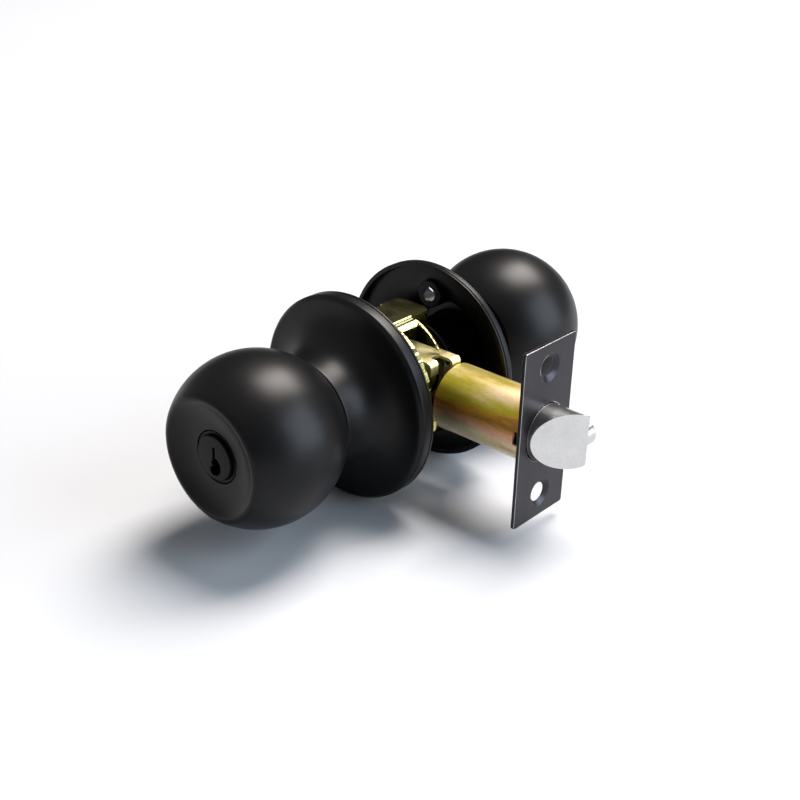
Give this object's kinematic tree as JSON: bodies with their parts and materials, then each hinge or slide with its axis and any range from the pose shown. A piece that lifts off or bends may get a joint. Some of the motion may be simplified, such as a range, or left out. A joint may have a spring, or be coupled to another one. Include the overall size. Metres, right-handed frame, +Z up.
{
  "type": "keyed entry knob lockset",
  "caption": "Keyed ball-knob door lockset: black knobs and roses, yellow zinc case and retractor, spring latch with deadlatch plunger, lock button and pin cylinder.",
  "frame": {"origin": "where the knob axis crosses the latch axis, inside the door bore", "axes": "+X along the latch towards the door edge, +Y along the knob axis towards the inside, +Z up"},
  "size_m": [0.1023, 0.1521, 0.0652],
  "materials": {
    "black_paint": "satin black paint",
    "dark_plate": "satin gunmetal",
    "yellow_zinc": "yellow passivated zinc",
    "bolt_steel": "satin nickel",
    "plain_steel": "bright zinc",
    "spring_steel": "drawn wire",
    "brass": "machined",
    "nylon": "moulded"
  },
  "bodies": {
    "lock": {"outside_rose": "black_paint", "outside_rose_ring": "plain_steel", "outside_hub": "yellow_zinc", "inside_rose": "black_paint", "inside_rose_ring": "plain_steel", "inside_hub": "black_paint", "case_drum": "yellow_zinc", "case_frame": "yellow_zinc", "retractor_spring_upper": "spring_steel", "retractor_spring_lower": "spring_steel", "latch_tube": "yellow_zinc", "tube_cap": "yellow_zinc", "faceplate": "dark_plate", "latch_spring": "spring_steel"},
    "retractor": {"retractor": "yellow_zinc"},
    "latch_bolt": {"latch_bolt": "bolt_steel", "latch_tail": "plain_steel", "plunger_spring": "spring_steel"},
    "deadlatch": {"deadlatch_plunger": "bolt_steel"},
    "outside_knob": {"outside_knob_shell": "black_paint", "outside_knob_back": "black_paint", "outside_spindle": "yellow_zinc", "cylinder_body": "brass", "chamber_cover": "brass", "driver_pin_1": "brass", "driver_pin_2": "brass", "driver_pin_3": "brass", "driver_pin_4": "brass", "driver_pin_5": "brass", "pin_spring_1": "spring_steel", "pin_spring_2": "spring_steel", "pin_spring_3": "spring_steel", "pin_spring_4": "spring_steel", "pin_spring_5": "spring_steel"},
    "key_plug": {"key_plug": "dark_plate", "plug_clip": "spring_steel", "tailpiece": "plain_steel", "key_pin_1": "brass", "key_pin_2": "brass", "key_pin_3": "brass", "key_pin_4": "brass", "key_pin_5": "brass"},
    "inside_knob": {"inside_knob_shell": "black_paint", "inside_knob_back": "black_paint", "inside_spindle": "yellow_zinc", "stem_guide": "nylon", "button_spring": "spring_steel"},
    "lock_button": {"lock_button": "plain_steel", "button_stem": "plain_steel"}
  },
  "joints": [
    {"name": "inside_knob_turn", "type": "hinge", "parent": "lock", "child": "inside_knob", "pos_m": [0, 0, 0], "axis": [0, -1, 0], "range_deg": [0, 55], "stiffness_Nm_per_rad": 0.5},
    {"name": "retractor_slide", "type": "slide", "parent": "lock", "child": "retractor", "axis": [-1, 0, 0], "range_m": [0, 0.0125], "stiffness_N_per_m": 150, "deforming": ["retractor_spring_upper", "retractor_spring_lower"]},
    {"name": "latch_bolt_slide", "type": "slide", "parent": "lock", "child": "latch_bolt", "axis": [-1, 0, 0], "range_m": [0, 0.0125], "stiffness_N_per_m": 150, "deforming": ["latch_spring"]},
    {"name": "deadlatch_push", "type": "slide", "parent": "latch_bolt", "child": "deadlatch", "axis": [-1, 0, 0], "range_m": [0, 0.009], "stiffness_N_per_m": 60, "deforming": ["plunger_spring"]},
    {"name": "outside_knob_turn", "type": "hinge", "parent": "lock", "child": "outside_knob", "pos_m": [0, 0, 0], "axis": [0, 1, 0], "range_deg": [-55, 55], "stiffness_Nm_per_rad": 0.5},
    {"name": "key_plug_turn", "type": "hinge", "parent": "outside_knob", "child": "key_plug", "pos_m": [0, 0, 0], "axis": [0, 1, 0], "range_deg": [0, 90]},
    {"name": "lock_button_push", "type": "slide", "parent": "inside_knob", "child": "lock_button", "axis": [0, -1, 0], "range_m": [0, 0.003], "stiffness_N_per_m": 100, "deforming": ["button_spring"]}
  ],
  "couplings": [
    {"joint": "retractor_slide", "follows": "inside_knob_turn", "m_per_rad": 0.01302},
    {"joint": "latch_bolt_slide", "follows": "inside_knob_turn", "m_per_rad": 0.01302}
  ]
}
